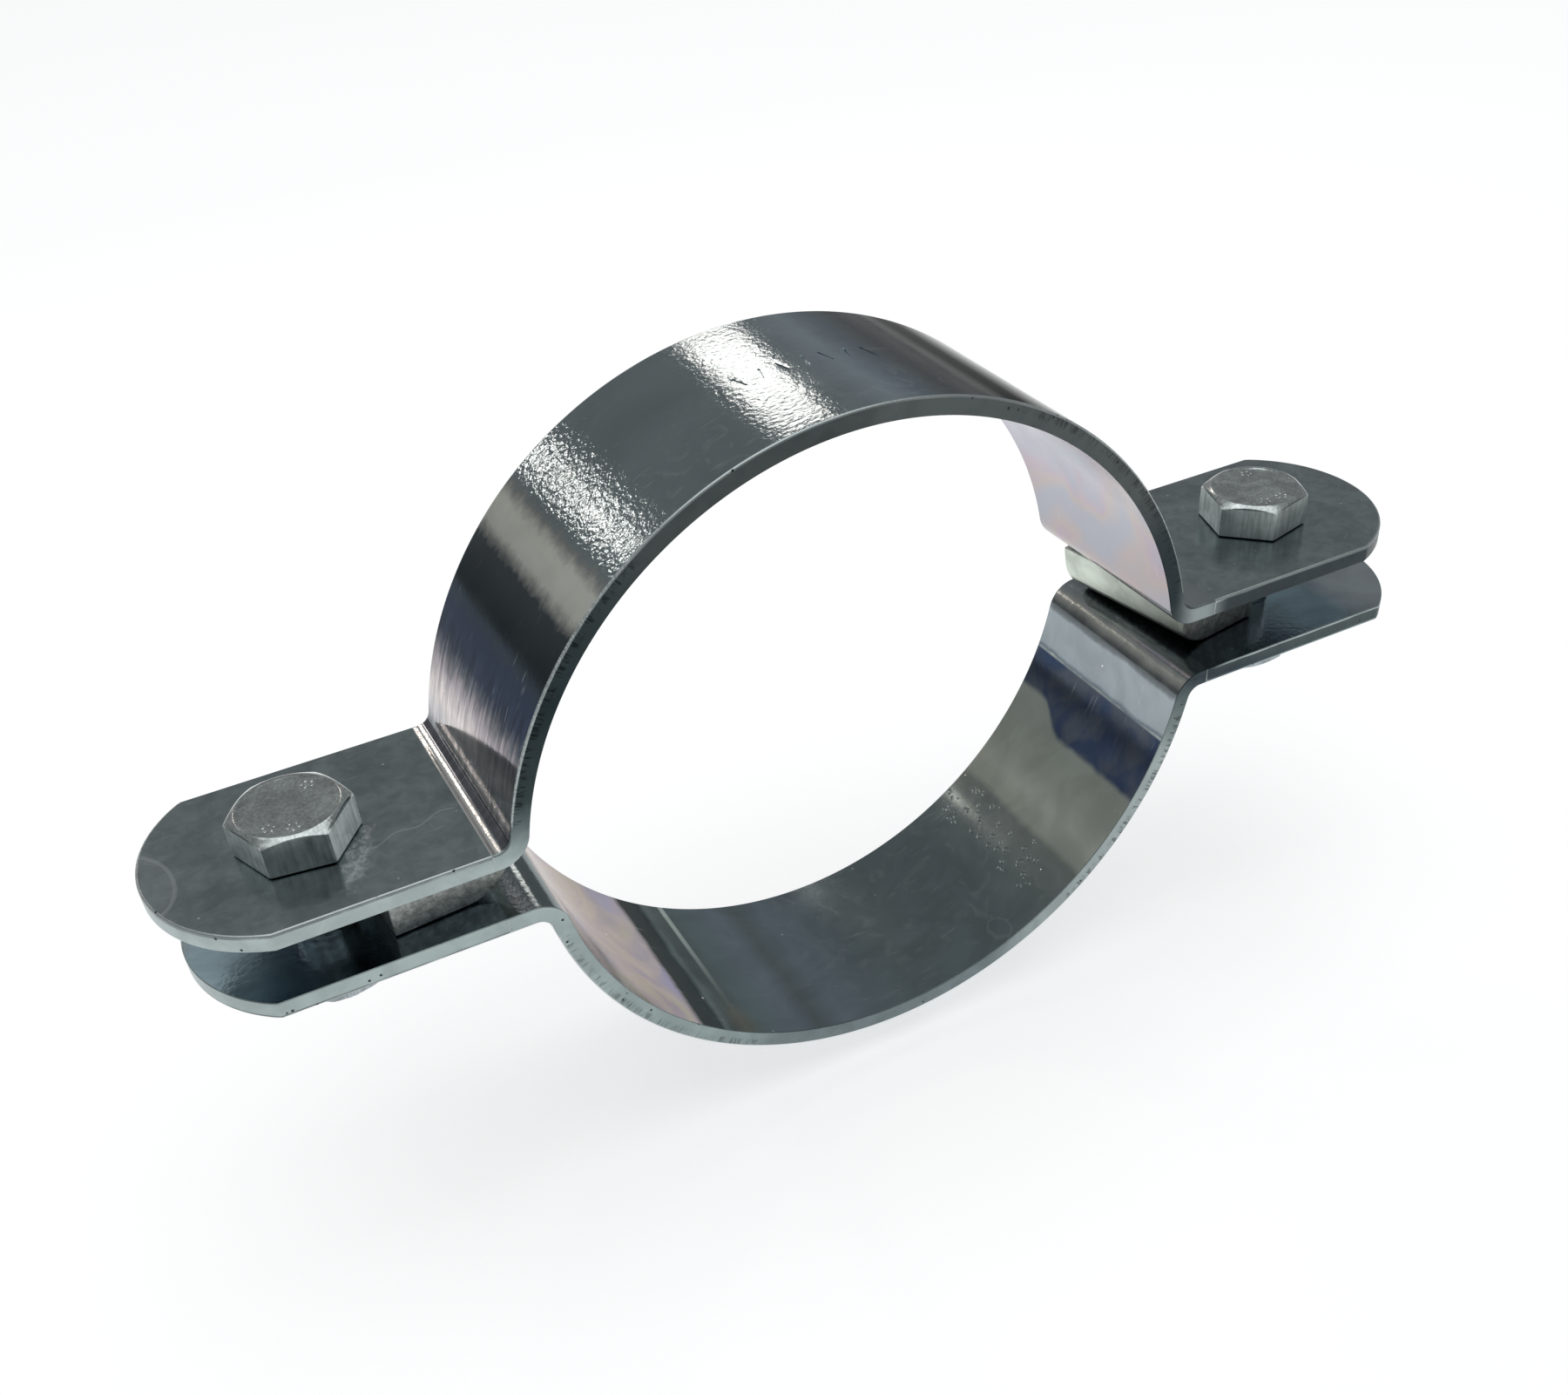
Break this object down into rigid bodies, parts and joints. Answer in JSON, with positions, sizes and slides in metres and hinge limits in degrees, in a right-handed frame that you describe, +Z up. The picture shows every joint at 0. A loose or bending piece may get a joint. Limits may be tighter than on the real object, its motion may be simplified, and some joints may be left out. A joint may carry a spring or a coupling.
{
  "type": "two-piece bolted pipe clamp",
  "caption": "Pipe clamp of two pressed half rings in flat zinc-plated strip, bolted together through outward ears with spacer blocks between them.",
  "frame": {"origin": "middle of the pipe space, halfway between the upper and lower ears and halfway across the strip", "axes": "+X along the ears, +Y along the pipe, +Z up along the bolts towards their heads"},
  "size_m": [0.2317, 0.04, 0.121],
  "materials": {
    "strap_zinc": "zinc plated, semi-bright",
    "bolt_zinc": "zinc plated, bright",
    "nut_zinc": "zinc plated, bright",
    "washer_zinc": "zinc plated, satin",
    "spacer_zinc": "zinc plated, speckled satin"
  },
  "bodies": {
    "upper_half": {"upper_half_clamp": "strap_zinc"},
    "lower_half": {"lower_half_clamp": "strap_zinc", "washer_left": "washer_zinc", "washer_right": "washer_zinc", "spacer_left": "spacer_zinc", "spacer_right": "spacer_zinc"},
    "bolt_left": {"hex_bolt_left": "bolt_zinc"},
    "bolt_right": {"hex_bolt_right": "bolt_zinc"},
    "nut_left": {"hex_nut_left": "nut_zinc"},
    "nut_right": {"hex_nut_right": "nut_zinc"}
  },
  "joints": [
    {"name": "lower_half_slide", "type": "slide", "parent": "upper_half", "child": "lower_half", "axis": [0, 0, -1], "range_m": [0, 0.006]},
    {"name": "nut_left_turn", "type": "hinge", "parent": "lower_half", "child": "nut_left", "pos_m": [-0.091, 0, -0.0137], "axis": [0, 0, -1], "range_deg": [0, 1440.01]},
    {"name": "nut_right_turn", "type": "hinge", "parent": "lower_half", "child": "nut_right", "pos_m": [0.091, 0, -0.0155], "axis": [0, 0, -1], "range_deg": [0, 1440.01]},
    {"name": "bolt_left_turn", "type": "hinge", "parent": "upper_half", "child": "bolt_left", "pos_m": [-0.091, 0, 0.00845], "axis": [0, 0, 1], "continuous": true},
    {"name": "bolt_right_turn", "type": "hinge", "parent": "upper_half", "child": "bolt_right", "pos_m": [0.091, 0, 0.00845], "axis": [0, 0, 1], "continuous": true}
  ],
  "couplings": [
    {"joint": "nut_left_turn", "follows": "lower_half_slide", "rad_per_m": 4188.8},
    {"joint": "nut_right_turn", "follows": "lower_half_slide", "rad_per_m": 4188.8}
  ]
}
